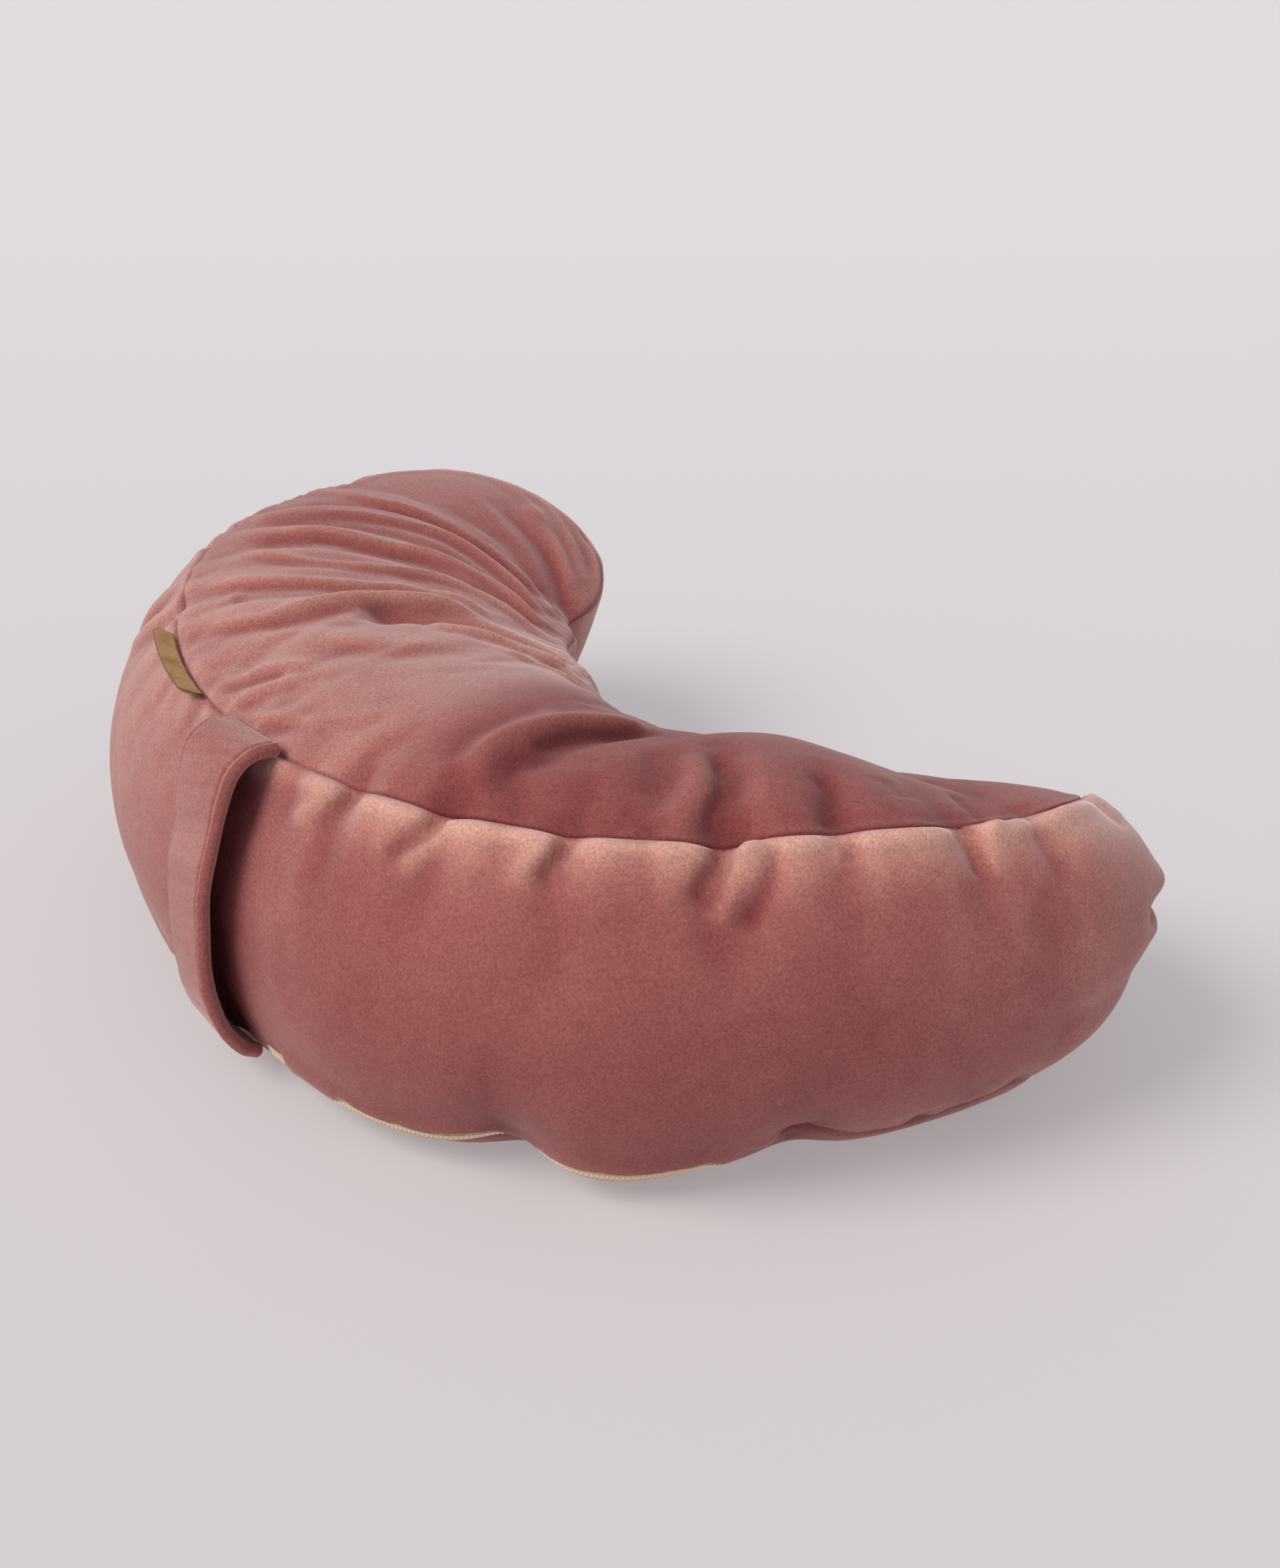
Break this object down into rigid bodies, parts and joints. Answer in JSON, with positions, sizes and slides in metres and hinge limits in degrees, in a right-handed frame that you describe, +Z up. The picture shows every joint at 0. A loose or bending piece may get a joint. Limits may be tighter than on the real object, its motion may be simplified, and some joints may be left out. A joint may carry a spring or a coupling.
{
  "type": "meditation cushion",
  "caption": "Crescent meditation cushion in velvet, with a domed top, a swelling side band, a carry strap across the outer curve, a plain tab and a closed zip.",
  "frame": {"origin": "bottom centre of the bounding box, on the floor", "axes": "+X from the far tip to the near tip along the longest extent, +Y towards the open side of the crescent, so the strap faces -Y, +Z up"},
  "size_m": [0.4436, 0.2858, 0.1362],
  "materials": {
    "velvet": "short pile velvet, dusty rose, paler where the pile catches light",
    "tab_leather": "matte tan with darker cut edges, bare",
    "zip_tape": "matte cream tape with a raised coil"
  },
  "bodies": {
    "root": {"cushion": "velvet", "carry_strap": "velvet", "tab": "tab_leather", "zip": "zip_tape"}
  },
  "joints": []
}
